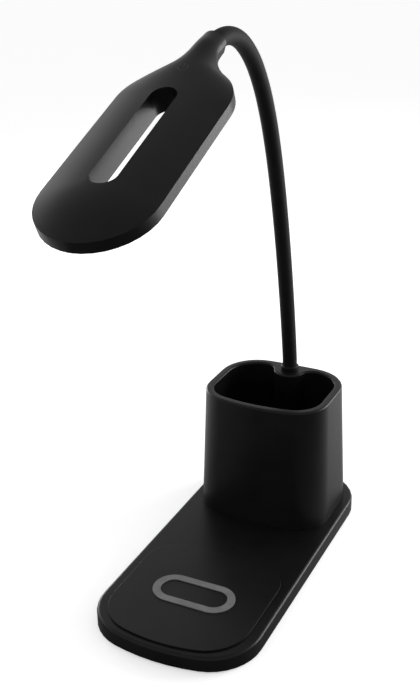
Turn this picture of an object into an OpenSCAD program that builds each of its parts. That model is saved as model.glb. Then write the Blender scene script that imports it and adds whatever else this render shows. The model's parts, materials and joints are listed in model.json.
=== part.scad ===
// Desk lamp on a charging base, with a pen cup and a slotted head on a gooseneck arm.
// Millimetres. +Z is up, -Y is the front, and the origin is on the table under the middle of the base.

/* [Base] */
// Width of the base
base_w = 110; // [104:1:130]
// Length of the base from front to back
base_l = 234; // [226:1:260]
// Height of the base cover's sides
base_h = 10; // [9.8:0.1:14]
// Radius of the front corners
base_front_r = 34; // [24:1:42]
// Radius of the rear corners
base_rear_r = 35; // [24:1:42]
// Bulge of the front edge
base_front_bow = 12.3; // [6:0.1:16]
// Bulge of the rear edge
base_rear_bow = 1.5; // [0.5:0.1:3]
// Rounding of the top edge
base_edge_r = 2.2; // [0.8:0.1:3]
// Wall of the base cover
base_wall = 2.2; // [1.6:0.1:3]
// Thickness of the base cover's top
base_top_t = 2.2; // [1.6:0.1:2.6]
// Thickness of the bottom plate
plate_t = 2; // [1.6:0.1:2.2]
// Height of the feet under the bottom plate
foot_h = 1; // [0.6:0.1:2]
// Radius of a foot
foot_r = 8; // [5:0.5:9]

/* [Charging pad] */
// Width of the raised pad
pad_w = 95.4; // [88:0.2:98]
// Length of the raised pad
pad_l = 96.7; // [84:0.1:100]
// Gap from the base's front edge to the pad
pad_front_gap = 4.8; // [3.5:0.1:8]
// Height of the pad above the base
pad_h = 1.2; // [0.8:0.1:2]
// Radius of the pad's front corners
pad_front_r = 30; // [20:1:38]
// Radius of the pad's rear corners
pad_rear_r = 19; // [12:1:30]
// Bulge of the pad's front edge
pad_front_bow = 11; // [5:0.1:15]
// Bulge of the pad's rear edge
pad_rear_bow = 3; // [1:0.1:6]
// Distance from the pad's front edge to the middle of the grip ring
ring_from_front = 50.4; // [44:0.2:56]
// Straight length of the grip ring
ring_straight = 28.4; // [20:0.2:36]
// Outer radius of the grip ring
ring_r = 13.7; // [11:0.1:16]
// Width of the grip ring
ring_w = 5.1; // [3:0.1:6]
// Height of the grip ring above the pad
ring_proud = 0.6; // [0.3:0.1:1]
// Depth of the grip ring's groove
ring_groove = 1; // [0.6:0.1:1.2]
// Outer radius of the charging coil
coil_r = 24; // [18:0.5:26]
// Width of the charging coil's winding
coil_band = 14; // [8:0.5:16]
// Thickness of the charging coil
coil_t = 1.4; // [1:0.1:1.6]
// Thickness of the ferrite sheet
ferrite_t = 1; // [0.6:0.1:1.4]

/* [Pen cup] */
// Width of the cup at its rim
cup_w = 90; // [84:0.5:96]
// Length of the cup at its rim
cup_l = 76; // [70:0.5:82]
// Width of the cup at its foot
cup_foot_w = 96; // [90:0.5:100]
// Length of the cup at its foot
cup_foot_l = 82.5; // [76:0.5:88]
// Height of the cup above the base
cup_h = 90; // [70:1:120]
// Radius of the cup's front corners
cup_front_r = 24; // [18:0.5:30]
// Radius of the cup's rear corners
cup_rear_r = 27.5; // [20:0.5:32]
// Bulge of the cup's front wall
cup_front_bow = 8; // [4:0.2:12]
// Bulge of the cup's rear wall
cup_rear_bow = 1.5; // [0.5:0.1:3]
// Gap from the base's rear edge to the cup's foot
cup_rear_gap = 5.4; // [3.5:0.1:8]
// Width of the rim
rim_w = 5.6; // [4:0.1:7]
// Rounding of the rim's edges
lip_r = 1.4; // [0.6:0.1:1.9]
// How much the cavity narrows down to its floor, at each side
cup_draft = 1; // [0.4:0.1:2]
// Thickness of the cup's floor
cup_floor = 4; // [3:0.1:6]
// Radius of the boss that carries the arm
boss_r = 11.6; // [10.6:0.1:13]
// Fillet between the boss and the rear wall
boss_fillet = 9; // [6:0.5:12]
// Distance from the cup's rear edge to the arm's axis
arm_inset = 8.8; // [8:0.1:10]

/* [Arm] */
// Radius of the steel hose
hose_r = 4; // [3.4:0.1:4.4]
// Thickness of the sleeve over the hose
sleeve_t = 1.2; // [1:0.1:1.6]
// Number of lengths that the arm is divided into
lengths = 11;
// Length of each of them
length_l = 24.7; // [22:0.1:28]
// Angle of the arm to the upright at its first joint
lean = 7.6; // [4:0.2:12]
// Angle that the arm turns through evenly along its length
sweep = 13.3; // [8:0.1:20]
// Angle that the arm turns through mostly at its top
hook = 66.3; // [55:0.1:75]
// Radius of the collar at the arm's foot
collar_r = 6.4; // [5.8:0.1:7.5]
// Height of that collar
collar_h = 3.6; // [2.5:0.1:5]
// Length of the arm between its collar and its first joint
foot_l = 8; // [7:0.5:12]
// Length of the arm that shows between its last joint and the head
arm_show = 15.2; // [12:0.1:20]
// Length of the arm inside the head's neck
neck_in = 9; // [8:0.5:12]
// Angle that the arm turns through from its last joint to its end
neck_turn = 31.5; // [26:0.5:36]

/* [Lamp head] */
// Width of the head
head_w = 64.8; // [60:0.2:72]
// Distance between the centres of the head's round ends
head_straight = 80; // [70:1:100]
// Distance from the neck's end to the centre of the rear round end
neck_l = 56.6; // [54:0.1:66]
// Radius of the neck's end
neck_end_r = 7.2; // [6.8:0.1:7.8]
// Half width of the neck before it widens
neck_r = 7.7; // [7.4:0.1:9]
// Radius of the flare between neck and head
flare_r = 30; // [24:1:34]
// Height of the head's upright edge
head_edge_h = 6.4; // [5.4:0.1:7.5]
// Height of the head at the middle of its crown
crown_h = 14; // [13:0.1:17]
// Height of the crown where the neck begins to flare
neck_crown_h = 15; // [14.6:0.1:17]
// Height of the arm's end above the head's underside
neck_rise = 6.2; // [5.6:0.1:7]
// Angle between the arm at the neck's end and the head
droop = 5.8; // [2:0.1:12]
// Wall of the head shell
head_wall = 2; // [1.6:0.1:2.4]
// Length of the slot
slot_l = 80; // [60:1:90]
// Width of the slot
slot_w = 15; // [10:0.5:18]
// How far the slot's middle lies behind the head's middle
slot_back = 1.3; // [0:0.1:4]
// Wall around the slot
slot_wall = 1.6; // [1.2:0.1:2]
// Thickness of the lower cover of the head
cover_t = 2; // [1.6:0.1:2.4]
// Half width of the diffuser's window
window_half = 22.4; // [18:0.1:23]
// Thickness of the diffuser
diffuser_t = 2; // [1.6:0.1:2.2]
// Height of the LED board above the underside
led_board_z = 5.2; // [5:0.1:5.6]
// Thickness of the LED board
led_board_t = 1.2; // [1:0.1:1.6]
// Number of LEDs along each side of the slot
led_count = 12;

/* [Hidden] */
$fn = 48;
tiny = 0.01;
over = 1;
fit = 0.2;
// Steps along an outline's ends and corners, and along the head's outside and inside
end_steps = 3;
corner_steps = 8;
out_steps = 18;
in_steps = 7;
case_black = "#1d1d1f";
sleeve_black = "#161616";
steel = "#a9abad";
board_green = "#1f5a3a";
arm_sleeves = [for (k = [1:lengths]) str("arm_sleeve_", k)];
arm_hoses = [for (k = [1:lengths]) str("arm_hose_", k)];

// Heights in the base
base_top = foot_h + base_h;
plate_top = foot_h + plate_t;
ceiling = base_top - base_top_t;
pad_top = base_top + pad_h;
pad_web = 1.2;
pad_ceiling = pad_top - ring_groove - pad_web;
board_pad_h = 0.8;
board_t = 1.2;
board_z = plate_top + board_pad_h;
board_top = board_z + board_t;
ballast_t = 3;

// Places on the base
pad_y = -base_l / 2 + pad_front_gap + pad_l / 2;
ring_y = -base_l / 2 + pad_front_gap + ring_from_front;
ring_z = pad_top - ring_groove;
cup_y = base_l / 2 - cup_rear_gap - cup_foot_l / 2;
rim_z = base_top + cup_h;
arm_y = cup_y + cup_l / 2 - arm_inset;
screw_r = 1.4;
screw_head_r = 2.6;
screw_head_h = 1.1;
screw_depth = 5;
screw_l = 3.5;
post_r = 3.2;
rib_w = 2;
rib_l = post_r + 2;
side_screw_x = base_w / 2 - base_wall - post_r - 1.2;
front_screw_y = -base_l / 2 + 37;
middle_screw_y = cup_y - cup_foot_l / 2 - 12;
side_spots = [for (x = [-side_screw_x, side_screw_x], y = [front_screw_y, middle_screw_y]) [x, y]];
rear_screw_x = 28;
rear_screw_y = base_l / 2 - 9.5;
screw_spots = concat(side_spots, [[-rear_screw_x, rear_screw_y], [rear_screw_x, rear_screw_y]]);
foot_sunk = 0.6;
foot_x = 36;
front_foot_y = -base_l / 2 + 33;
rear_foot_y = base_l / 2 - 29;
foot_spots = [for (x = [-foot_x, foot_x], y = [front_foot_y, rear_foot_y]) [x, y]];
cup_screw_h = 5.6;
cup_screw_x = 28;
cup_screw_front = 24;
cup_screw_rear = 16;
cup_screw_ys = [cup_y - cup_screw_front, cup_y + cup_screw_rear];
cup_screw_spots = [for (x = [-cup_screw_x, cup_screw_x], y = cup_screw_ys) [x, y]];

// Cavity of the cup, from the middle of its rim
cup_big_front = bow_r(cup_w, cup_front_bow);
cup_big_rear = bow_r(cup_w, cup_rear_bow);
cup_front_turn = end_turn(cup_w, cup_front_r, cup_big_front);
cup_rear_turn = end_turn(cup_w, cup_rear_r, cup_big_rear);
front_corner = [cup_w / 2 - cup_front_r,
    cup_big_front - cup_l / 2 - end_drop(cup_w, cup_front_r, cup_big_front)];
rear_corner = [cup_w / 2 - cup_rear_r,
    cup_l / 2 - cup_big_rear + end_drop(cup_w, cup_rear_r, cup_big_rear)];
rear_centre = [0, cup_l / 2 - cup_big_rear];
boss_centre = [0, cup_l / 2 - arm_inset];
flat_fillet = fillet_centre(rear_centre, cup_big_rear);
fillet_on_flat = flat_fillet.x < rear_corner.x;
fillet_at = fillet_on_flat ? flat_fillet : fillet_centre(rear_corner, cup_rear_r);
fillet_start = facing(fillet_at - (fillet_on_flat ? rear_centre : rear_corner));
fillet_stop = facing(boss_centre - fillet_at);

// Parts in the base
socket_w = 8.94;
socket_h = 3.26;
socket_l = 7.35;
socket_z = plate_top + board_t + socket_h / 2;
inlet_w = 20;
inlet_l = 17;
inlet_y = base_l / 2 - base_wall - fit - inlet_l / 2;
inlet_top = plate_top + board_t;
ballast_w = 84;
ballast_l = 68;
ballast_gap = 1;
ballast_y = inlet_y - inlet_l / 2 - ballast_gap - ballast_l / 2;
board_w = 60;
board_l = 34;
// The charger board lies between the coil and the ballast plate, this much nearer to the coil
board_ahead = 2.3;
board_y = (ring_y + coil_r + ballast_y - ballast_l / 2) / 2 - board_ahead;
board_edge = board_y + board_l / 2;
board_front = board_y - board_l / 2;
board_stand_r = 2;
board_stand_in = 3;
socket_sunk = 0.4;
tongue_w = 6.6;
tongue_t = 0.7;
plug_l = 5;
plug_h = 2.9;
coil_plug_w = 10;
coil_lead = 1;
coil_lead_x = 3;
coil_lead_end = board_front + plug_l - coil_lead;
coil_channel_w = 12;
// Parts soldered on the charger board: x and y from its middle, width, length and height
board_parts = [[-16, 3, 7, 7, 2.8], [14, -2, 5, 5, 0.9], [22, 6, 4, 6, 1.4], [-5, 1, 6, 4, 1.1]];
// Round ones: x and y from its middle, radius and height
board_cans = [[-24, -8, 2.5, 2.8], [20, -8, 2.5, 2.8]];
lead_r = 1.1;
lead_z = plate_top + ballast_t + lead_r + 0.15;
lead_bend = 4;
lead_in_arm = 3;
inlet_lead_x = 7;
inlet_plug_w = 5;
inlet_plug_l = 6;

// Arm
sleeve_r = hose_r + sleeve_t;
ball_step = 0.35;
ball_r = sleeve_r - ball_step;
ball_gap = 0.3;
socket_r = ball_r + ball_gap;
rim_gap = 1.6;
thread_r = 5;
thread_l = 14;
boss_top_t = 5;
nut_h = 4;
washer_t = 1;
washer_r = 8;
boss_bore_r = washer_r + fit;
hose_sunk = 9;
lead_hole_r = 2.2;

// Turn of the arm at joint k, from upright towards the front
function heading(k) = let (u = (k - 1) / lengths) lean + sweep * u + hook * pow(u, 6);
function bend(k) = heading(k + 1) - heading(k);
function ahead(turn) = [-sin(turn), cos(turn)];
// Step as [y, z] along an arc of this length that starts at one turn and bends by another
function arc_step(length, turn, bend) = length * sin(bend / 2) / (bend / 2 * PI / 180) * ahead(turn + bend / 2);
// Joint k as [y, z]; joint 1 is over the collar, the last one is under the head
function joint_at(k) = k == 1
    ? [arm_y, rim_z + collar_h] + arc_step(foot_l, 0, lean)
    : joint_at(k - 1) + arc_step(length_l, heading(k - 1), bend(k - 1));
last_joint = lengths + 1;
end_l = arm_show + neck_in;
show_turn = neck_turn * arm_show / end_l;
neck_sleeve_in = 2.3;
sleeve_turn = neck_turn * (arm_show + neck_sleeve_in) / end_l;
face_turn = heading(last_joint) + show_turn;
face_at = joint_at(last_joint) + arc_step(arm_show, heading(last_joint), show_turn);

// Head, with d counted from the neck's end and the height counted from the underside
head_r = head_w / 2;
front_d = neck_l + head_straight;
tip_d = front_d + head_r;
flare_x = neck_r + flare_r;
flare_d = neck_l - sqrt(pow(head_r + flare_r, 2) - pow(flare_x, 2));
round_end_d = 4;
neck_turn_d = 14;
slot_d = neck_l + head_straight / 2 - slot_back;
edge_in_h = head_edge_h - 1.4;
hollow_d = flare_end(0) - 3;
neck_fit = 0.1;
ferrule_r = hose_r + 0.6;
neck_step = arc_step(neck_in, 90 - droop, neck_turn - show_turn);
bore_end_d = -neck_step.x;
bore_end_h = neck_rise + neck_step.y;
set_screw_d = bore_end_d - 2.5;
set_screw_top = bore_end_h - ferrule_r - 0.3;
set_screw_l = 1.6;
window_gap = 0.15;
window_edge = 1.2;
led_board_half = window_half + 1;
led_h = 1.2;
led_side = 2.8;
stand_r = 3;
stand_x = 15;
head_post_r = 3.5;
cover_screw_x = head_r - head_wall - head_post_r + 0.3;
cover_screw_in = 8;
cover_screw_ds = [neck_l + cover_screw_in, front_d - cover_screw_in];
cover_screw_spots = [for (x = [-cover_screw_x, cover_screw_x], d = cover_screw_ds) [x, d]];
stand_reach = 25;
stand_spots = [for (x = [-stand_x, stand_x], d = [slot_d - stand_reach, slot_d + stand_reach]) [x, d]];
touch_back = 18.9;
touch_d = neck_l - touch_back;
touch_z = led_board_z + led_board_t;
touch_post_r = 1.6;
touch_board_w = 15;
touch_board_l = 14;
touch_stem_z = 11;
touch_spring_r = 3.2;
touch_spring_t = 0.6;

// Where the flare meets the round rear end, both set in by t
function flare_end(t) = flare_d + (neck_l - flare_d) * (flare_r + t) / (head_r + flare_r);
function smooth(t) = let (c = min(1, max(0, t))) c * c * (3 - 2 * c);
function mix(a, b, t) = a + (b - a) * t;
function tail(list) = [for (i = [1:len(list) - 1]) list[i]];
function lift(points, z) = [for (p = points) [p.x, p.y, z]];
// Points from angle a0 to a1, where 0 faces the front and 90 the right
function arc(c, r, a0, a1, n) = [for (i = [0:n]) let (a = mix(a0, a1, i / n)) c + r * [sin(a), -cos(a)]];
function closed(right) = concat(right, [for (i = [len(right) - 2:-1:1]) [-right[i].x, right[i].y]]);
function bow_r(w, bow) = (w * w / 4 + bow * bow) / (2 * bow);
// Distance from the centre of a bulging end's arc to the centre of its corners
function end_drop(w, r, big) = sqrt(pow(big - r, 2) - pow(w / 2 - r, 2));
function end_turn(w, r, big) = atan2(w / 2 - r, end_drop(w, r, big));

// Right half of a rounded rectangle with bulging ends, set in by t
function right_outline(w, l, r1, r2, bow1, bow2, t) =
    let (big1 = bow_r(w, bow1), big2 = bow_r(w, bow2))
    let (turn1 = end_turn(w, r1, big1), turn2 = end_turn(w, r2, big2))
    concat(
        arc([0, big1 - l / 2], big1 - t, 0, turn1, end_steps),
        tail(arc([w / 2 - r1, big1 - l / 2 - end_drop(w, r1, big1)], r1 - t, turn1, 90, corner_steps)),
        arc([w / 2 - r2, l / 2 - big2 + end_drop(w, r2, big2)], r2 - t, 90, 180 - turn2, corner_steps),
        tail(arc([0, l / 2 - big2], big2 - t, 180 - turn2, 180, end_steps)));
function outline(w, l, r1, r2, bow1, bow2, y, t) =
    [for (p = closed(right_outline(w, l, r1, r2, bow1, bow2, t))) p + [0, y]];
function base_outline(t) =
    outline(base_w, base_l, base_front_r, base_rear_r, base_front_bow, base_rear_bow, 0, t);
function pad_outline(t) =
    outline(pad_w, pad_l, pad_front_r, pad_rear_r, pad_front_bow, pad_rear_bow, pad_y, t);
function cup_outline(z, t) =
    let (down = (rim_z - z) / cup_h)
    outline(mix(cup_w, cup_foot_w, down), mix(cup_l, cup_foot_l, down),
        cup_front_r, cup_rear_r, cup_front_bow, cup_rear_bow, cup_y, t);

// Solid skin over rings that all have as many points, each ring counter-clockwise seen from its end;
// an end is one flat face, or a fan of faces round its middle
module skin(rings, fans = false) {
    n = len(rings[0]);
    last = len(rings) - 1;
    sides = [for (j = [0:last - 1], i = [0:n - 1])
        let (a = j * n + i, b = j * n + (i + 1) % n)
        each [[a, a + n, b + n], [a, b + n, b]]];
    start = [for (i = [0:n - 1]) i];
    stop = [for (i = [n - 1:-1:0]) last * n + i];
    ends = fans ? concat(fan(start, (last + 1) * n), fan(stop, (last + 1) * n + 1)) : [start, stop];
    apexes = [middle(rings[0]), middle(rings[last])];
    polyhedron(concat([for (ring = rings) each ring], apexes), concat(ends, sides));
}
function fan(ring, apex) = [for (i = [0:len(ring) - 1]) [ring[i], ring[(i + 1) % len(ring)], apex]];
function middle(ring) = [for (p = ring) 1] * ring / len(ring);

// Bar with round ends, its length along Y
module stadium(straight, r, h) {
    translate([-r, -straight / 2, 0]) cube([2 * r, straight, h]);
    for (side = [-1, 1]) translate([0, side * straight / 2, 0]) cylinder(r = r, h = h);
}

// Screw with its head down at z = 0
module screw(r, l, head_r, head_h) {
    cylinder(r = head_r, h = head_h);
    cylinder(r = r, h = head_h + l);
}

// Round bar along an arc that starts at the origin upright and leans to the front
module elbow(r, length, turn) {
    big = length / (turn * PI / 180);
    translate([0, -big, 0]) rotate([90, 0, 90])
        rotate_extrude(angle = turn, $fn = 96) translate([big, 0]) circle(r = r);
}

// Ball at the upper end of such an arc
module ball_after(length, turn) {
    big = length / (turn * PI / 180);
    translate([0, big * (cos(turn) - 1), big * sin(turn)]) sphere(r = ball_r);
}

/* Base */

module base_top_cover() {
    edge = [for (a = [0:22.5:90]) lift(base_outline(base_edge_r * (1 - cos(a))),
        base_top - base_edge_r * (1 - sin(a)))];
    pad_edge = 0.4;
    post_h = ceiling - plate_top + tiny;
    through = base_top_t + 2 * over;
    pad_rings = [for (a = [0:45:90])
        lift(pad_outline(pad_edge * (1 - cos(a))), pad_top - pad_edge * (1 - sin(a)))];
    color(case_black) difference() {
        union() {
            difference() {
                union() {
                    skin(concat([lift(base_outline(0), foot_h)], edge));
                    skin(concat([lift(pad_outline(0), base_top - 1)], pad_rings));
                }
                skin([lift(base_outline(base_wall), foot_h - over), lift(base_outline(base_wall), ceiling)]);
                translate([0, ring_y, ceiling - over]) {
                    cylinder(r = coil_r + over, h = pad_ceiling - ceiling + over);
                    translate([-coil_channel_w / 2, 0, 0])
                        cube([coil_channel_w, coil_lead_end + 2 * coil_lead - ring_y, pad_ceiling - ceiling + over]);
                }
            }
            for (p = screw_spots) translate([p.x, p.y, plate_top]) cylinder(r = post_r, h = post_h);
            for (p = side_spots) block(p.x + sign(p.x) * rib_l / 2, p.y, plate_top, rib_l, rib_w, post_h);
        }
        ring_band(ring_groove + over);
        for (p = screw_spots) translate([p.x, p.y, plate_top - over]) cylinder(r = screw_r, h = screw_depth);
        for (p = cup_screw_spots) translate([p.x, p.y, ceiling - over]) cylinder(r = screw_r + fit, h = through);
        translate([0, arm_y, ceiling - over]) cylinder(r = boss_bore_r, h = through);
        translate([0, base_l / 2, socket_z]) rotate([90, 0, 0]) socket_shape(fit, 2 * (base_wall + over));
    }
}

// Flat-sided oval of the inlet, grown by g and centred on its length
module socket_shape(g, l) {
    r = socket_h / 2 + g;
    half = socket_w / 2 - socket_h / 2;
    translate([-half, -r, -l / 2]) cube([2 * half, 2 * r, l]);
    for (side = [-1, 1]) translate([side * half, 0, -l / 2]) cylinder(r = r, h = l);
}

module base_bottom_plate() {
    stand_to_x = board_w / 2 - board_stand_in;
    color(case_black) difference() {
        union() {
            translate([0, 0, foot_h]) linear_extrude(plate_t) polygon(base_outline(base_wall + fit));
            for (x = [-stand_to_x, stand_to_x], y = [board_front + board_stand_in, board_edge - board_stand_in])
                translate([x, y, plate_top - tiny]) cylinder(r = board_stand_r, h = board_pad_h + tiny);
        }
        for (p = screw_spots) translate([p.x, p.y, foot_h - over]) {
            cylinder(r = screw_head_r + fit, h = screw_head_h + over);
            cylinder(r = screw_r + fit, h = plate_t + 2 * over);
        }
        for (p = foot_spots) translate([p.x, p.y, foot_h - over]) cylinder(r = foot_r, h = foot_sunk + over);
    }
}

module base_feet() {
    color("#2b2b2b") for (p = foot_spots) translate([p.x, p.y, 0]) cylinder(r = foot_r, h = foot_h + foot_sunk);
}

module base_screws() {
    color(steel) for (p = screw_spots) translate([p.x, p.y, foot_h])
        screw(screw_r, screw_l, screw_head_r, screw_head_h);
}

module ballast_plate() {
    color(steel) translate([-ballast_w / 2, ballast_y - ballast_l / 2, plate_top])
        cube([ballast_w, ballast_l, ballast_t]);
}

module charging_coil() {
    start = ring_y + coil_r - 2 * coil_lead;
    color("#b8703a") {
        translate([0, ring_y, pad_ceiling - coil_t]) difference() {
            cylinder(r = coil_r, h = coil_t);
            translate([0, 0, -over]) cylinder(r = coil_r - coil_band, h = coil_t + 2 * over);
        }
        for (x = [-coil_lead_x, coil_lead_x]) {
            translate([x - coil_lead / 2, start, pad_ceiling - coil_lead])
                cube([coil_lead, coil_lead_end - start, coil_lead]);
            translate([x - coil_lead / 2, coil_lead_end - coil_lead, board_top + plug_h])
                cube([coil_lead, coil_lead, pad_ceiling - board_top - plug_h]);
        }
    }
}

module ferrite_sheet() {
    color("#3a3a3c") translate([0, ring_y, pad_ceiling - coil_t - ferrite_t])
        cylinder(r = coil_r, h = ferrite_t);
}

module charger_board() {
    color(board_green) block(0, board_y, board_z, board_w, board_l, board_t);
}

// Block that stands on z, with its middle at x and y
module block(x, y, z, w, l, h) {
    translate([x - w / 2, y - l / 2, z]) cube([w, l, h]);
}

module board_components() {
    color("#2a2a2c") {
        block(0, board_front + plug_l / 2 + 0.5, board_top, coil_plug_w, plug_l, plug_h);
        block(inlet_lead_x / 2, board_edge - plug_l / 2, board_top, inlet_lead_x + 6, plug_l, plug_h);
        for (p = board_parts) block(p[0], board_y + p[1], board_top, p[2], p[3], p[4]);
    }
    color(steel) for (p = board_cans) translate([p[0], board_y + p[1], board_top]) cylinder(r = p[2], h = p[3]);
}

module inlet_board() {
    color(board_green) block(0, inlet_y, plate_top, inlet_w, inlet_l, board_t);
    color("#dcd8cc") block(inlet_lead_x, inlet_y - (inlet_l - inlet_plug_l) / 2, inlet_top,
        inlet_plug_w, inlet_plug_l, lead_z + lead_r - inlet_top);
}

module usb_socket() {
    wall = 0.3;
    middle_y = base_l / 2 - socket_sunk - socket_l / 2;
    color(steel) translate([0, middle_y, socket_z]) rotate([90, 0, 0]) difference() {
        socket_shape(0, socket_l);
        translate([0, 0, -over]) socket_shape(-wall, socket_l);
    }
    color("#2a2a2c") block(0, middle_y, socket_z - tongue_t / 2, tongue_w, socket_l - 2 * tongue_t, tongue_t);
}

module inlet_lead() {
    start = board_edge - tiny;
    stop = inlet_y - inlet_l / 2;
    color("#2b2b2b") translate([inlet_lead_x, start, lead_z]) rotate([-90, 0, 0])
        cylinder(r = lead_r, h = stop - start);
}

// Lead from the charger board along the base and up through the boss
module arm_lead() {
    start = board_edge - tiny;
    top = rim_z - thread_l + lead_in_arm;
    color("#2b2b2b") {
        translate([0, start, lead_z]) rotate([-90, 0, 0]) cylinder(r = lead_r, h = arm_y - lead_bend - start);
        translate([0, arm_y - lead_bend, lead_z + lead_bend]) rotate([90, 0, 90]) rotate([0, 0, -90])
            rotate_extrude(angle = 90, $fn = 96) translate([lead_bend, 0]) circle(r = lead_r);
        translate([0, arm_y, lead_z + lead_bend]) cylinder(r = lead_r, h = top - lead_z - lead_bend);
    }
}

module grip_ring() {
    color("#6f7173") ring_band(ring_groove + ring_proud);
}

// Flat band round a stadium that lies across the base, standing on the groove's floor
module ring_band(h) {
    translate([0, ring_y, ring_z]) rotate([0, 0, 90]) difference() {
        stadium(ring_straight, ring_r, h);
        translate([0, 0, -over]) stadium(ring_straight, ring_r - ring_w, h + 2 * over);
    }
}

/* Pen cup */

// Centre of the circle that lies inside circle (c, r) and outside the boss, and touches both
function fillet_centre(c, r) =
    let (a = r - rim_w - boss_fillet, b = boss_r + boss_fillet, gap = norm(boss_centre - c))
    let (along = (a * a - b * b + gap * gap) / (2 * gap), e = (boss_centre - c) / gap)
    let (side = sqrt(a * a - along * along))
    let (one = c + along * e + side * [-e.y, e.x], two = c + along * e + side * [e.y, -e.x])
    one.x > two.x ? one : two;
function facing(v) = atan2(v.x, -v.y) + (v.x < 0 ? 360 : 0);
// Outline of the cavity, grown by g: round the cup and in around the boss
function cavity_outline(g) =
    let (t = rim_w - g)
    [for (p = closed(concat(
        arc([0, cup_big_front - cup_l / 2], cup_big_front - t, 0, cup_front_turn, end_steps),
        tail(arc(front_corner, cup_front_r - t, cup_front_turn, 90, corner_steps)),
        arc(rear_corner, cup_rear_r - t, 90, fillet_on_flat ? 180 - cup_rear_turn : fillet_start, corner_steps),
        fillet_on_flat ? [rear_centre + (cup_big_rear - t) * [sin(fillet_start), -cos(fillet_start)]] : [],
        tail(arc(fillet_at, boss_fillet + g, fillet_start, fillet_stop, corner_steps)),
        tail(arc(boss_centre, boss_r - g, fillet_stop - 180, 0, corner_steps))))) p + [0, cup_y]];

module pen_cup() {
    outer = [for (a = [0:22.5:90])
        let (z = rim_z - lip_r * (1 - sin(a))) lift(cup_outline(z, lip_r * (1 - cos(a))), z)];
    inner = [for (a = [0:22.5:90]) lift(cavity_outline(lip_r * (1 - cos(a))), rim_z - lip_r * (1 - sin(a)))];
    hole_h = cup_screw_h - base_top_t + over;
    color(case_black) difference() {
        skin(concat([lift(cup_outline(base_top, 0), base_top)], outer));
        skin(concat([lift(cavity_outline(-cup_draft), base_top + cup_floor)], inner,
            [lift(cavity_outline(lip_r), rim_z + over)]));
        translate([0, arm_y, base_top - over]) cylinder(r = boss_bore_r, h = cup_h - boss_top_t + over);
        translate([0, arm_y, base_top]) cylinder(r = thread_r + fit, h = cup_h + over);
        for (p = cup_screw_spots) translate([p.x, p.y, base_top - over]) cylinder(r = screw_r, h = hole_h);
    }
}

module cup_screws() {
    color(steel) for (p = cup_screw_spots) translate([p.x, p.y, ceiling - screw_head_h])
        screw(screw_r, cup_screw_h - 0.2, screw_head_r, screw_head_h);
}

/* Arm */

module arm_foot_ferrule() {
    chamfer = 0.8;
    color("#2a2a2c") translate([0, arm_y, rim_z]) difference() {
        union() {
            rotate_extrude() polygon([[0, 0], [collar_r, 0], [collar_r, collar_h - chamfer],
                [collar_r - chamfer, collar_h], [0, collar_h]]);
            translate([0, 0, -thread_l]) cylinder(r = thread_r, h = thread_l + tiny);
        }
        translate([0, 0, -hose_sunk]) cylinder(r = hose_r, h = hose_sunk + collar_h + over);
        translate([0, 0, -thread_l - over]) cylinder(r = lead_hole_r, h = thread_l);
    }
}

module arm_foot_washer() {
    color(steel) translate([0, arm_y, rim_z - boss_top_t - washer_t]) difference() {
        cylinder(r = washer_r, h = washer_t);
        translate([0, 0, -over]) cylinder(r = thread_r + fit, h = washer_t + 2 * over);
    }
}

module arm_foot_nut() {
    nut_r = 8;
    color(steel) translate([0, arm_y, rim_z - boss_top_t - washer_t - nut_h]) difference() {
        cylinder(r = nut_r, h = nut_h, $fn = 6);
        translate([0, 0, -over]) cylinder(r = thread_r, h = nut_h + 2 * over);
    }
}

// Places children at joint k of the arm, with +Z along the arm
module at_joint(k) {
    p = joint_at(k);
    translate([0, p.x, p.y]) rotate([heading(k), 0, 0]) children();
}

// Hollow under an arm piece, which leaves room for the ball below it to turn in
module socket() {
    sphere(r = socket_r);
    translate([0, 0, -over]) cylinder(r = sleeve_r + over, h = rim_gap + over);
}

// Rubber sleeve of one length of the arm, with a socket below and a ball above
module sleeve(k) {
    color(sleeve_black) at_joint(k) difference() {
        union() {
            elbow(sleeve_r, length_l, bend(k));
            ball_after(length_l, bend(k));
        }
        elbow(hose_r, length_l, bend(k));
        socket();
    }
}

// Steel hose inside that sleeve
module hose(k) {
    color(steel) at_joint(k) difference() {
        elbow(hose_r, length_l, bend(k));
        sphere(r = socket_r);
    }
}

module arm_foot_sleeve() {
    color(sleeve_black) translate([0, arm_y, rim_z + collar_h]) difference() {
        union() {
            elbow(sleeve_r, foot_l, lean);
            ball_after(foot_l, lean);
        }
        elbow(hose_r, foot_l, lean);
    }
}

module arm_foot_hose() {
    color(steel) translate([0, arm_y, rim_z + collar_h]) {
        translate([0, 0, -collar_h - hose_sunk]) cylinder(r = hose_r, h = collar_h + hose_sunk);
        elbow(hose_r, foot_l, lean);
    }
}

/* Lamp head */

// Half width of the head at d, set in by t
function head_half(d, t) =
    d < flare_d ? mix(neck_end_r, neck_r, smooth(d / flare_d)) - t
    : d < flare_end(t) ? flare_x - sqrt(pow(flare_r + t, 2) - pow(d - flare_d, 2))
    : d < neck_l ? sqrt(pow(head_r - t, 2) - pow(neck_l - d, 2))
    : d < front_d ? head_r - t
    : sqrt(max(0, pow(head_r - t, 2) - pow(d - front_d, 2)));
// Height of the crown at d: high at the neck, falling off over the round front end
function crown(d) =
    d < front_d ? mix(neck_crown_h, crown_h, smooth((d - neck_turn_d) / (neck_l - neck_turn_d)))
    : mix(head_edge_h, crown_h, 1 - pow((d - front_d) / head_r, 2));
// Angles around a section: along the flat underside, up the edge and over the dome
dome_angles = [for (i = [0:16]) i * 11.25];
under_angles = [225, 247.5, 270, 292.5, 315];
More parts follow.
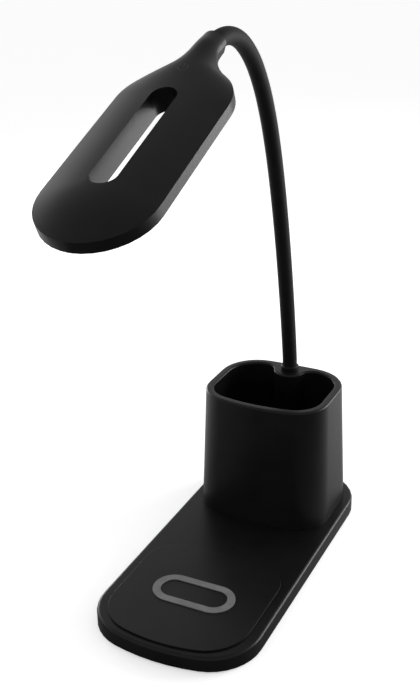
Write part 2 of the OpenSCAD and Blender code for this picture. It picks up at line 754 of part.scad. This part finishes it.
// Section of the head at d, set in by t, with its edge top and underside at the given heights
function head_section(d, t, edge_h, under) =
    let (half = head_half(d, t), top = crown(d) - t)
    let (round_part = 1 - smooth((d - round_end_d) / (hollow_d - round_end_d)))
    let (rise = smooth(d / neck_turn_d))
    let (mid = mix(neck_rise, neck_crown_h / 2, rise), tall = mix(neck_end_r, neck_crown_h / 2, rise) - t)
    let (turn = droop * (1 - rise))
    let (flat = concat(
            [for (a = dome_angles) [half * cos(a), mix(edge_h, top, pow(sin(a), 2))]],
            [for (i = [-2:2]) [half * i / 2, under]]),
        oval = [for (a = concat(dome_angles, under_angles)) [half * cos(a), mid + tall * sin(a)]])
    [for (i = [0:len(flat) - 1])
        let (p = mix(flat[i], oval[i], round_part), up = p.y - mid)
        [p.x, -d + up * sin(turn), mid + up * cos(turn) - neck_rise]];
function stations(t, d0, steps) = concat(
    [for (i = [0:steps - 1]) mix(d0, neck_l, i / steps)],
    [for (i = [0:4]) neck_l + head_straight * i / 4],
    [for (a = [10:10:80]) front_d + (head_r - t) * sin(a)],
    [front_d + (head_r - t) * sin(88)]);

// Places the head's frame at the neck's end
module at_head() {
    translate([0, face_at.x, face_at.y]) rotate([face_turn + droop - 90, 0, 0]) children();
}

// Moves children to distance d and height h above the underside
module on_head(x, d, h) {
    translate([x, -d, h - neck_rise]) children();
}

// Solid with the head's sections set in by t, from d0 to the tip
module head_skin(t, d0, steps, edge_h, under) {
    skin([for (d = stations(t, d0, steps)) head_section(d, t, edge_h, under)], fans = true);
}

module head_shell() {
    bore_over = 2;
    color(case_black) difference() {
        at_head() difference() {
            union() {
                difference() {
                    head_skin(0, 0, out_steps, head_edge_h, 0);
                    head_skin(head_wall, hollow_d, in_steps, edge_in_h, -over);
                }
                shell_core();
            }
            on_head(0, slot_d, -over) stadium(slot_l - slot_w, slot_w / 2, crown_h + 3 * over);
            on_head(0, bore_end_d - bore_over, bore_end_h) rotate([90, 0, 0])
                cylinder(r = lead_hole_r, h = hollow_d - bore_end_d + 2 * bore_over);
            on_head(0, set_screw_d, set_screw_top - set_screw_l - bore_over)
                cylinder(r = screw_r, h = set_screw_l + 2 * bore_over);
            for (p = cover_screw_spots) on_head(p.x, p.y, 0) cylinder(r = screw_r, h = edge_in_h);
        }
        at_joint(last_joint) {
            elbow(sleeve_r + neck_fit, arm_show + neck_sleeve_in, sleeve_turn);
            elbow(ferrule_r + neck_fit, end_l, neck_turn);
        }
    }
}

// What stands inside the shell: the slot's wall, screw posts and board stands, all trimmed to its outside
module shell_core() {
    intersection() {
        head_skin(head_wall / 2, hollow_d, in_steps, edge_in_h + head_wall / 3, 0);
        union() {
            on_head(0, slot_d, 0) stadium(slot_l - slot_w, slot_w / 2 + slot_wall, crown_h);
            for (p = cover_screw_spots) on_head(p.x, p.y, cover_t) cylinder(r = head_post_r, h = crown_h);
            for (p = stand_spots) on_head(p.x, p.y, led_board_z + led_board_t) cylinder(r = stand_r, h = crown_h);
        }
    }
    on_head(0, touch_d, touch_stem_z)
        cylinder(r = touch_spring_r + touch_spring_t, h = crown_h - 1 - touch_stem_z);
}

// Flat plate with the plan of the head, set in by t, from d0 to the tip
module head_plate(t, d0, h) {
    right = [for (d = concat(stations(t, d0, in_steps), [front_d + head_r - t])) [head_half(d, t), -d]];
    linear_extrude(h) polygon(concat(right, [for (i = [len(right) - 2:-1:0]) [-right[i].x, right[i].y]]));
}

module head_lower_cover() {
    color(case_black) at_head() difference() {
        union() {
            on_head(0, 0, 0) head_plate(head_wall + fit, hollow_d + fit, cover_t);
            for (side = [-1, 1]) on_head(side * 5, touch_d - touch_board_l / 2 + touch_post_r, cover_t - tiny)
                cylinder(r = touch_post_r, h = touch_z - cover_t + tiny);
        }
        on_head(0, slot_d, -over) stadium(slot_l - slot_w, window_half, cover_t + 2 * over);
        on_head(0, slot_d, cover_t / 2) stadium(slot_l - slot_w, window_half + window_edge, cover_t);
        for (p = cover_screw_spots) on_head(p.x, p.y, -over) {
            cylinder(r = screw_r + fit, h = cover_t + 2 * over);
            cylinder(r = screw_head_r + fit / 2, h = screw_head_h + over);
        }
    }
}

module head_screws() {
    color(steel) at_head() for (p = cover_screw_spots) on_head(p.x, p.y, 0)
        screw(screw_r, edge_in_h - screw_head_h - 0.2, screw_head_r, screw_head_h);
}

module diffuser() {
    hole = slot_w / 2 + slot_wall + fit;
    half = window_half - window_gap;
    color("#e8e6df") at_head() difference() {
        union() {
            on_head(0, slot_d, 0) stadium(slot_l - slot_w, half, cover_t);
            on_head(0, slot_d, cover_t / 2) stadium(slot_l - slot_w, half + window_edge, diffuser_t / 2);
        }
        on_head(0, slot_d, -over) stadium(slot_l - slot_w, hole, cover_t + 2 * over);
    }
}

module led_board() {
    hole = slot_w / 2 + slot_wall + fit;
    color("#d9d9d4") at_head() difference() {
        on_head(0, slot_d, led_board_z) stadium(slot_l - slot_w, led_board_half, led_board_t);
        on_head(0, slot_d, led_board_z - over) stadium(slot_l - slot_w, hole, led_board_t + 2 * over);
    }
}

module leds() {
    x = (led_board_half + slot_w / 2 + slot_wall) / 2;
    pitch = (slot_l - slot_w) / (led_count - 1);
    color("#f2e9b8") at_head() for (side = [-1, 1], i = [0:led_count - 1])
        on_head(side * x, slot_d - (slot_l - slot_w) / 2 + i * pitch, led_board_z - led_h)
            translate([-led_side / 2, -led_side / 2, 0]) cube([led_side, led_side, led_h]);
}

module touch_board() {
    color(board_green) at_head() {
        on_head(0, touch_d, touch_z) translate([-touch_board_w / 2, -touch_board_l / 2, 0])
            cube([touch_board_w, touch_board_l, board_t]);
    }
}

module touch_spring() {
    color(steel) at_head() on_head(0, touch_d, touch_z + board_t) difference() {
        cylinder(r = touch_spring_r, h = touch_stem_z - touch_z - board_t);
        translate([0, 0, -over]) cylinder(r = touch_spring_r - touch_spring_t, h = crown_h);
    }
}

module arm_head_sleeve() {
    length = arm_show + neck_sleeve_in;
    color(sleeve_black) at_joint(last_joint) difference() {
        elbow(sleeve_r, length, sleeve_turn);
        elbow(hose_r, length, sleeve_turn);
        socket();
    }
}

module arm_head_hose() {
    color(steel) at_joint(last_joint) difference() {
        elbow(hose_r, end_l, neck_turn);
        sphere(r = socket_r);
    }
}

// Steel tube over the hose's end, clamped in the neck
module head_ferrule() {
    color("#8a8c8e") at_joint(last_joint) difference() {
        elbow(ferrule_r, end_l, neck_turn);
        elbow(sleeve_r, arm_show + neck_sleeve_in, sleeve_turn);
        elbow(hose_r, end_l, neck_turn);
    }
}

module neck_set_screw() {
    color(steel) at_head() on_head(0, set_screw_d, set_screw_top - set_screw_l)
        cylinder(r = screw_r, h = set_screw_l);
}

base_top_cover();
base_bottom_plate();
base_feet();
base_screws();
ballast_plate();
charging_coil();
ferrite_sheet();
charger_board();
board_components();
inlet_board();
usb_socket();
inlet_lead();
arm_lead();
grip_ring();
pen_cup();
cup_screws();
arm_foot_ferrule();
arm_foot_washer();
arm_foot_nut();
arm_foot_sleeve();
arm_foot_hose();
for (k = [1:lengths]) sleeve(k);
for (k = [1:lengths]) hose(k);
arm_head_sleeve();
arm_head_hose();
head_ferrule();
neck_set_screw();
head_shell();
head_lower_cover();
head_screws();
diffuser();
led_board();
leds();
touch_board();
touch_spring();
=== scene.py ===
"""Desk lamp on a charging base: its finishes, its one-piece arm sleeve, the light and the camera."""
import json
import math

import bmesh
import bpy
from mathutils import Matrix, Vector


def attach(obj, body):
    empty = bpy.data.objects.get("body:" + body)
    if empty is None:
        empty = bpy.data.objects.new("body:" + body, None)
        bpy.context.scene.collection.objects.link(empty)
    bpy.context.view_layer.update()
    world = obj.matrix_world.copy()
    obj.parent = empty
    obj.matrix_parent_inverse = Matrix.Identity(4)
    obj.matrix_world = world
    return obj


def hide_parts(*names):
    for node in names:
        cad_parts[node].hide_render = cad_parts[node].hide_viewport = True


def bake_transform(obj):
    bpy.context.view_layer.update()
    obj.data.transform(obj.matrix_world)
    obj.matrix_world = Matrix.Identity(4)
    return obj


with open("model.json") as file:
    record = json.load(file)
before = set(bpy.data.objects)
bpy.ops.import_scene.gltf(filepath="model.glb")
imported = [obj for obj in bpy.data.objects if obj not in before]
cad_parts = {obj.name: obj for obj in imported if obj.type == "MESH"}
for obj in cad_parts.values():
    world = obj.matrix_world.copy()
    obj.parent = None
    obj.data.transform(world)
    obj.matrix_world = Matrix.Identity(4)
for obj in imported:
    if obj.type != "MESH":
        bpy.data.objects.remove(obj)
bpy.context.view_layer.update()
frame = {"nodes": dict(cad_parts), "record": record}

MM = 0.001
X_AXIS = (1, 0, 0)

# Sizes of the part in millimetres
ARM_FOOT = (99.55, 104.6)  # y and z of the arm's foot, on top of its collar
FOOT_LENGTH = 8
LENGTH = 24.7
LENGTHS = 11
LEAN, SWEEP, HOOK = 7.6, 13.3, 66.3
ARM_END = 17.5  # from the last joint to the sleeve's end inside the neck
ARM_END_TURN = 31.5 / 24.2 * ARM_END
SLEEVE_R = 5.19
SLEEVE_SEGMENTS = 40
SLEEVE_STEP = 1.6
NECK_FACE = (-18.086, 346.568)
HEAD_TILT = 22.785
NECK_RISE = 6.2
NECK_L = 56.6
HEAD_R = 32.4
HEAD_EDGE = 6.4
NECK_CROWN = 15
CROWN_DROP = 1
CROWN_TURNS_AT = 14  # where the neck's crown begins to fall to the dome's
TOUCH_D = 37.7
MARK_T = 0.08
SMOOTH_UP_TO = math.radians(28)  # angle between facets that is shaded smooth


# Shader maths

class Value:
    """A shader socket on which Python's operators add Math nodes."""

    def __init__(self, finish, socket):
        self.finish = finish
        self.socket = socket

    def math(self, operation, *others):
        inputs = dict(enumerate((self, *others)))
        return self.finish.node("ShaderNodeMath", {"operation": operation}, inputs)

    def back(self, operation, other):
        return self.finish.node("ShaderNodeMath", {"operation": operation}, {0: other, 1: self})

    def __add__(self, other):
        return self.math("ADD", other)

    def __sub__(self, other):
        return self.math("SUBTRACT", other)

    def __mul__(self, other):
        return self.math("MULTIPLY", other)

    def __truediv__(self, other):
        return self.math("DIVIDE", other)

    def __pow__(self, other):
        return self.math("POWER", other)

    def __rsub__(self, other):
        return self.back("SUBTRACT", other)

    __radd__ = __add__
    __rmul__ = __mul__

    def step(self, low, high):
        """0 below low, 1 above high, and a smooth change between them."""
        settings = {"interpolation_type": "SMOOTHSTEP"}
        return self.finish.node("ShaderNodeMapRange", settings, {0: self, 1: low, 2: high})


class Nodes:
    """The shader nodes of a material or of the world."""

    def __init__(self, owner):
        owner.use_nodes = True
        self.tree = owner.node_tree

    def node(self, kind, settings=None, inputs=None, out=0):
        new = self.tree.nodes.new(kind)
        for key, value in (settings or {}).items():
            setattr(new, key, value)
        for key, value in (inputs or {}).items():
            self.join(new.inputs[key], value)
        return Value(self, new.outputs[out])

    def join(self, socket, value):
        if isinstance(value, Value):
            self.tree.links.new(value.socket, socket)
        else:
            socket.default_value = value

    def ray(self, *kinds):
        """1 where a ray of one of these kinds arrives, and 0 elsewhere."""
        return sum(self.node("ShaderNodeLightPath", out="Is %s Ray" % kind) for kind in kinds)


class Finish(Nodes):
    """A material with one Principled BSDF, whose patterns lie on Object coordinates."""

    def __init__(self, name, **sockets):
        self.material = bpy.data.materials.new(name)
        super().__init__(self.material)
        self.shader = self.tree.nodes["Principled BSDF"]
        self.place = self.node("ShaderNodeTexCoord", out="Object")
        for socket, value in sockets.items():
            self.put(socket.replace("_", " "), value)

    @staticmethod
    def colour(value):
        return (*value, 1) if isinstance(value, tuple) else value

    def put(self, name, value):
        self.join(self.shader.inputs[name], self.colour(value))

    def noise(self, size, detail=2.0, stretch=(1, 1, 1)):
        """Noise from 0 to 1, with lumps of about this size in millimetres."""
        spot = self.node("ShaderNodeMapping", inputs={"Vector": self.place, "Scale": stretch})
        return self.node("ShaderNodeTexNoise", inputs={
            "Vector": spot, "Scale": 1 / (size * MM), "Detail": detail, "Roughness": 0.55})

    def mix(self, mask, one, other):
        return self.node("ShaderNodeMix", {"data_type": "RGBA"},
                         {0: mask, 6: self.colour(one), 7: self.colour(other)}, out=2)

    def bump(self, height, depth, strength=1.0):
        """Height from 0 to 1, over a depth in millimetres."""
        normal = self.node("ShaderNodeBump", inputs={
            "Strength": strength, "Distance": depth * MM, "Height": height})
        self.put("Normal", normal)


def grey(level):
    return (level, level, level)


def case_plastic(name, dark, light, rough, grain_depth):
    """Moulded black plastic: fine spark texture and faint cloudy gloss."""
    finish = Finish(name, Specular_IOR_Level=0.2)
    cloud = finish.noise(24, 3)
    grain = finish.noise(0.45, 2)
    finish.put("Base Color", finish.mix(cloud.step(0.35, 0.65), dark, light))
    finish.put("Roughness", rough + (cloud - 0.5) * 0.06 + (grain - 0.5) * 0.08)
    finish.bump(grain * 0.8 + cloud * 0.2, grain_depth)
    return finish.material


def rubber(name, dark, light, rough, grain_size, grain_depth):
    finish = Finish(name, Specular_IOR_Level=0.15)
    cloud = finish.noise(9, 2)
    grain = finish.noise(grain_size, 3)
    finish.put("Base Color", finish.mix(cloud.step(0.3, 0.7), dark, light))
    finish.put("Roughness", rough + (grain - 0.5) * 0.12)
    finish.bump(grain, grain_depth)
    return finish.material


def metal(name, dark, light, rough, stretch):
    finish = Finish(name, Metallic=1.0)
    scratch = finish.noise(0.5, 3, stretch)
    finish.put("Base Color", finish.mix(scratch, dark, light))
    finish.put("Roughness", rough + (scratch - 0.5) * 0.16)
    finish.bump(scratch, 0.01, 0.5)
    return finish.material


def painted(name, dark, light, rough, size):
    finish = Finish(name)
    blotch = finish.noise(size, 4)
    finish.put("Base Color", finish.mix(blotch.step(0.35, 0.7), dark, light))
    finish.put("Roughness", rough + (blotch - 0.5) * 0.2)
    finish.bump(blotch, 0.02)
    return finish.material


def opal(name):
    """Milky diffuser plate with a fine prism texture."""
    finish = Finish(name, Subsurface_Weight=0.35, Subsurface_Scale=0.004, IOR=1.49)
    prism = finish.noise(0.7, 1)
    cloud = finish.noise(18, 2)
    finish.put("Base Color", finish.mix(cloud, (0.78, 0.78, 0.76), (0.86, 0.86, 0.84)))
    finish.put("Roughness", 0.42 + (prism - 0.5) * 0.15)
    finish.bump(prism, 0.03)
    return finish.material


FINISHES = {
    "black_plastic": case_plastic("black_plastic_case", grey(0.0036), grey(0.0052), 0.36, 0.012),
    "arm_sleeve": rubber("black_arm_rubber", grey(0.003), grey(0.004), 0.65, 0.5, 0.015),
    "foot_rubber": rubber("grey_foot_rubber", grey(0.02), grey(0.028), 0.75, 0.35, 0.05),
    "ring_silicone": rubber("grey_grip_silicone", grey(0.15), grey(0.18), 0.62, 0.4, 0.02),
    "lead": rubber("black_lead_jacket", grey(0.012), grey(0.018), 0.5, 0.4, 0.02),
    "steel": metal("drawn_steel", (0.42, 0.42, 0.43), (0.6, 0.6, 0.61), 0.32, (1, 1, 0.1)),
    "collar_metal": metal("blackened_collar", grey(0.012), grey(0.022), 0.5, (1, 1, 0.1)),
    "copper": metal("enamelled_copper", (0.55, 0.2, 0.08), (0.75, 0.32, 0.14), 0.35, (1, 1, 1)),
    "ferrite": painted("grey_ferrite", grey(0.03), grey(0.05), 0.7, 1.2),
    "board": painted("green_solder_mask", (0.012, 0.09, 0.035), (0.02, 0.14, 0.06), 0.35, 2.5),
    "component": painted("black_component_body", grey(0.012), grey(0.022), 0.5, 1.0),
    "led_board_white": painted("white_solder_mask", (0.7, 0.7, 0.66), (0.8, 0.8, 0.77), 0.4, 4),
    "led_yellow": painted("phosphor_yellow", (0.75, 0.62, 0.16), (0.85, 0.72, 0.24), 0.5, 0.8),
    "opal_plastic": opal("opal_diffuser"),
}


# Carried-over pieces

SLOTS = {part["node"]: part["material_slot"] for part in frame["record"]["subparts"]}
for node, solid in frame["nodes"].items():
    for place in solid.material_slots:
        place.material = FINISHES[SLOTS[node]]


def piece(name, mesh, body, slot, finish=None):
    obj = bpy.data.objects.new(name, mesh)
    bpy.context.scene.collection.objects.link(obj)
    mesh.materials.clear()
    mesh.materials.append(finish or FINISHES[slot])
    if body:
        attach(obj, body)
    return obj


def smooth_skin(node, body):
    """The node's own form as one merged mesh, shaded smooth."""
    mesh = frame["nodes"][node].data.copy()
    if "custom_normal" in mesh.attributes:
        mesh.attributes.remove(mesh.attributes["custom_normal"])
    bm = bmesh.new()
    bm.from_mesh(mesh)
    bmesh.ops.remove_doubles(bm, verts=bm.verts, dist=2e-6)
    bmesh.ops.dissolve_degenerate(bm, edges=bm.edges, dist=1e-6)
    bm.to_mesh(mesh)
    bm.free()
    mesh.shade_smooth()
    mesh.set_sharp_from_angle(angle=SMOOTH_UP_TO)
    obj = piece(node + "_skin", mesh, body, SLOTS[node])
    flat_kept = obj.modifiers.new("flat faces kept flat", "WEIGHTED_NORMAL")
    flat_kept.keep_sharp = True
    flat_kept.weight = 100
    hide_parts(node)
    return obj


smooth_skin("base_top_cover", "base")
smooth_skin("pen_cup", "base")
smooth_skin("head_shell", "head")


# Arm sleeve

def heading(k):
    """Lean of the arm at joint k, from upright towards the front."""
    u = (k - 1) / LENGTHS
    return LEAN + SWEEP * u + HOOK * u ** 6


def arcs():
    """Arcs of the arm's middle line from its foot to its end in the neck, as length and turn."""
    rows = [(FOOT_LENGTH, LEAN)]
    rows += [(LENGTH, heading(k + 1) - heading(k)) for k in range(1, LENGTHS + 1)]
    return rows + [(ARM_END, ARM_END_TURN)]


def walk(s):
    """Point and lean of the arm's middle line at s millimetres from its foot."""
    point, lean = Vector((0, *ARM_FOOT)), 0.0
    for length, turn in arcs():
        part = min(s, length)
        bend = turn * part / length
        half = math.radians(bend / 2)
        chord = part * math.sin(half) / half if bend else part
        middle = math.radians(lean) + half
        point = point + chord * Vector((0, -math.sin(middle), math.cos(middle)))
        lean += bend
        s -= part
        if s <= 0:
            break
    return point * MM, lean


def section_at(s):
    point, lean = walk(s)
    return Matrix.Translation(point) @ Matrix.Rotation(math.radians(lean), 4, "X")


def sleeve_piece(name, start, stop, bend_to):
    """Tube between two places on the arm, along the arm's middle line."""
    bm = bmesh.new()
    before = section_at(start)
    circle = bmesh.ops.create_circle(bm, segments=SLEEVE_SEGMENTS, radius=SLEEVE_R * MM, matrix=before)
    edges = list({edge for vert in circle["verts"] for edge in vert.link_edges})
    steps = round((stop - start) / SLEEVE_STEP)
    for i in range(1, steps + 1):
        after = section_at(start + (stop - start) * i / steps)
        grown = bmesh.ops.extrude_edge_only(bm, edges=edges)["geom"]
        verts = [item for item in grown if isinstance(item, bmesh.types.BMVert)]
        edges = [item for item in grown if isinstance(item, bmesh.types.BMEdge)]
        bmesh.ops.transform(bm, matrix=after @ before.inverted(), verts=verts)
        before = after
    bmesh.ops.recalc_face_normals(bm, faces=bm.faces)
    mesh = bpy.data.meshes.new(name)
    bm.to_mesh(mesh)
    bm.free()
    mesh.shade_smooth()
    obj = piece(name, mesh, None, "arm_sleeve")
    walk(start)[0]
    walk(bend_to)[0]
    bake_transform(obj)
    return obj


JOINTS_AT = [FOOT_LENGTH + LENGTH * k for k in range(LENGTHS + 1)]
CUTS = [0] + [s + LENGTH / 2 for s in JOINTS_AT[:-1]] + [JOINTS_AT[-1] + ARM_END]
STOOD_FOR = ["arm_sleeve_%d" % k for k in range(1, LENGTHS + 1)] + ["arm_head_sleeve"]
for k, node in enumerate(STOOD_FOR):
    start, stop = CUTS[k:k + 2]
    bend_to = min(stop, JOINTS_AT[k] + LENGTH / 2)
    tube = sleeve_piece("arm_sleeve_skin_%d" % (k + 1), start, stop, bend_to)
    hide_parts(node, *(["arm_foot_sleeve"] if k == 0 else []))


# Touch mark on the neck

def on_head(x, d, h):
    """Place on the head: d millimetres from the neck's end and h above the underside."""
    tilt = math.radians(HEAD_TILT)
    y, z = -d, h - NECK_RISE
    return Vector((x, NECK_FACE[0] + y * math.cos(tilt) - z * math.sin(tilt),
                   NECK_FACE[1] + y * math.sin(tilt) + z * math.cos(tilt))) * MM


def dome_height(x, d):
    """Height of the dome beside the neck, above the head's underside."""
    t = min(1, max(0, (d - CROWN_TURNS_AT) / (NECK_L - CROWN_TURNS_AT)))
    crown = NECK_CROWN - CROWN_DROP * t * t * (3 - 2 * t)
    half = math.sqrt(HEAD_R ** 2 - (NECK_L - d) ** 2)
    return HEAD_EDGE + (crown - HEAD_EDGE) * (1 - (x / half) ** 2)


def touch_mark():
    """Ring with an open top and a short bar, inlaid in the dome."""
    radius, width, gap, bar_down = 2.7, 0.55, 38, 0.4
    bm = bmesh.new()
    line = bmesh.ops.create_vert(bm, co=(radius - width / 2, 0, 0))["vert"]
    line += bmesh.ops.create_vert(bm, co=(radius + width / 2, 0, 0))["vert"]
    bm.edges.new(line)
    bmesh.ops.rotate(bm, verts=bm.verts, matrix=Matrix.Rotation(math.radians(90 + gap), 3, "Z"))
    bmesh.ops.spin(bm, geom=bm.verts[:] + bm.edges[:], axis=(0, 0, 1), steps=40,
                   angle=math.radians(360 - 2 * gap))
    bar = Matrix.Translation((0, radius - bar_down, 0)) @ Matrix.Diagonal((width, radius, 1, 1))
    bmesh.ops.create_grid(bm, x_segments=1, y_segments=4, size=0.5, matrix=bar)
    for vert in bm.verts:
        x, d = vert.co.x, TOUCH_D - vert.co.y
        vert.co = on_head(x, d, dome_height(x, d) + MARK_T / 2)
    bmesh.ops.recalc_face_normals(bm, faces=bm.faces)
    if sum(face.normal.z for face in bm.faces) < 0:
        bmesh.ops.reverse_faces(bm, faces=bm.faces)
    bmesh.ops.solidify(bm, geom=bm.faces[:], thickness=MARK_T * MM)
    mesh = bpy.data.meshes.new("touch_mark")
    bm.to_mesh(mesh)
    bm.free()
    printed = rubber("touch_mark_print", grey(0.055), grey(0.07), 0.55, 0.4, 0.01)
    piece("touch_mark", mesh, "head", "ring_silicone", printed)


touch_mark()


# Painted shade of the cross recesses in the screws that show from below: thin dark crosses stand in
# for the shaded hollows

CROSS_L, CROSS_W, CROSS_T = 2.9, 0.6, 0.08
CROSS_TURN = 31  # from one screw to the next
PLATE_BOTTOM = 1
# painted shade: a near-black finish for the crosses, the shade inside a recess rather than the steel's
# own colour
RECESS_SHADE_PAINT = painted("painted_recess_shade", grey(0.01), grey(0.02), 0.8, 1.0)
BASE_SCREWS = ((48.4, -80), (48.4, 17.1), (28, 107.5))  # x and y
HEAD_SCREWS = ((27.2, 64.6), (27.2, 128.6))  # x, and distance from the neck's end


# Flat dark crosses laid on the screw heads: painted shade where real recesses would be
def painted_cross_shades(name, body, places):
    bm = bmesh.new()
    size = Matrix.Diagonal((CROSS_L, CROSS_W, CROSS_T, 1))
    for k, place in enumerate(places):
        for turn in (CROSS_TURN * k, CROSS_TURN * k + 90):
            bar = Matrix.Rotation(math.radians(turn), 4, "Z") @ size
            bmesh.ops.create_cube(bm, size=MM, matrix=place @ bar)
    bmesh.ops.bevel(bm, geom=bm.edges[:], offset=CROSS_T * MM / 4, affect="EDGES", segments=2,
                    profile=0.5, material=-1)
    mesh = bpy.data.meshes.new(name)
    bm.to_mesh(mesh)
    bm.free()
    piece(name, mesh, body, "steel", RECESS_SHADE_PAINT)


painted_cross_shades("base_screw_cross_shades", "base", [
    Matrix.Translation(Vector((side * x, y, PLATE_BOTTOM)) * MM)
    for x, y in BASE_SCREWS for side in (-1, 1)])
painted_cross_shades("head_screw_cross_shades", "head", [
    Matrix.Translation(on_head(side * x, d, 0)) @ Matrix.Rotation(math.radians(HEAD_TILT), 4, "X")
    for x, d in HEAD_SCREWS for side in (-1, 1)])


# Floor, light and camera

FLOOR_R = 6  # metres
FLOOR_BRIGHTENS = (-0.25, 0.3)  # where, to the rear and left, its reflection turns from dark to bright
FLOOR_SEEN = 0.47
MATT_LIGHT = 0.55
WALL_IN_GLOSS = 0.9
CEILING_FROM = (0.35, 0.7)
CEILING_DIM = 0.4
CAMERA_TURN, CAMERA_RISE, CAMERA_ROLL = 26.229, 24.162, -1.171  # degrees
CAMERA_AT = (254.5, -547.7, 428.2)
CAMERA_LENS = 54.13


def floor():
    bm = bmesh.new()
    bmesh.ops.create_circle(bm, cap_ends=True, segments=96, radius=FLOOR_R)
    mesh = bpy.data.meshes.new("floor")
    bm.to_mesh(mesh)
    bm.free()
    obj = bpy.data.objects.new("floor", mesh)
    bpy.context.scene.collection.objects.link(obj)
    finish = Finish("white_floor", Roughness=0.9, Specular_IOR_Level=0.1)
    cloth = finish.mix(finish.noise(400, 2), grey(0.88), grey(0.9))
    x, y = (finish.node("ShaderNodeSeparateXYZ", inputs={0: finish.place}, out=axis) for axis in "XY")
    behind = (y - x * 0.7).step(*FLOOR_BRIGHTENS)
    in_gloss = finish.mix(behind, grey(0.12), grey(0.95))
    finish.put("Base Color", finish.mix(finish.ray("Glossy"), cloth, in_gloss))
    seen = finish.ray("Camera", "Transmission")
    finish.put("Emission Color", finish.mix(seen, grey(0), grey(FLOOR_SEEN)))
    finish.put("Emission Strength", 1.0)
    mesh.materials.append(finish.material)


def sky():
    """White surround with an even light on matt surfaces and a ceiling that is dim in reflections."""
    world = bpy.data.worlds.new("studio")
    surround = Nodes(world)
    bpy.context.scene.world = world
    way = surround.node("ShaderNodeTexCoord", out="Generated")
    rise = surround.node("ShaderNodeSeparateXYZ", inputs={0: way}, out="Z")
    mirrored = surround.ray("Glossy")
    matt = 1 - surround.ray("Camera", "Glossy", "Transmission")
    dimmer = 1 - WALL_IN_GLOSS + rise.step(*CEILING_FROM) * CEILING_DIM
    light = 1 - matt * (1 - MATT_LIGHT) - mirrored * dimmer
    background = world.node_tree.nodes["Background"].inputs
    background["Color"].default_value = (1, 1, 1, 1)
    surround.join(background["Strength"], light)


def softbox(name, place, target, size, power):
    light = bpy.data.lights.new(name, "AREA")
    light.shape = "RECTANGLE"
    light.size, light.size_y = size
    light.energy = power
    lamp = bpy.data.objects.new(name, light)
    aim = Vector(target) - Vector(place)
    lamp.matrix_world = Matrix.Translation(place) @ aim.to_track_quat("-Z", "Y").to_matrix().to_4x4()
    lamp.visible_camera = False
    bpy.context.scene.collection.objects.link(lamp)


def camera():
    turn, rise, roll = (math.radians(angle) for angle in (CAMERA_TURN, CAMERA_RISE, CAMERA_ROLL))
    right = Vector((math.cos(turn), math.sin(turn), 0))
    back = Vector((math.sin(turn) * math.cos(rise), -math.cos(turn) * math.cos(rise), math.sin(rise)))
    up = back.cross(right)
    across = math.cos(roll) * right + math.sin(roll) * up
    upright = math.cos(roll) * up - math.sin(roll) * right
    lens = bpy.data.cameras.new("camera")
    lens.lens = CAMERA_LENS
    lens.clip_start = 0.01
    view = bpy.data.objects.new("camera", lens)
    pose = Matrix((across, upright, back)).transposed().to_4x4()
    pose.translation = Vector(CAMERA_AT) * MM
    view.matrix_world = pose
    bpy.context.scene.collection.objects.link(view)
    bpy.context.scene.camera = view


floor()
sky()
softbox("left_box", (-1.0, 0.15, 0.5), (0, 0, 0.2), (0.8, 0.8), 1.2)
softbox("right_back_box", (0.75, 0.7, 0.3), (0, 0, 0.25), (0.7, 0.5), 10)
softbox("left_back_box", (-1.0, 0.55, 0.15), (0, 0, 0.05), (0.5, 0.28), 4)
camera()
bpy.context.scene.view_settings.view_transform = "Standard"
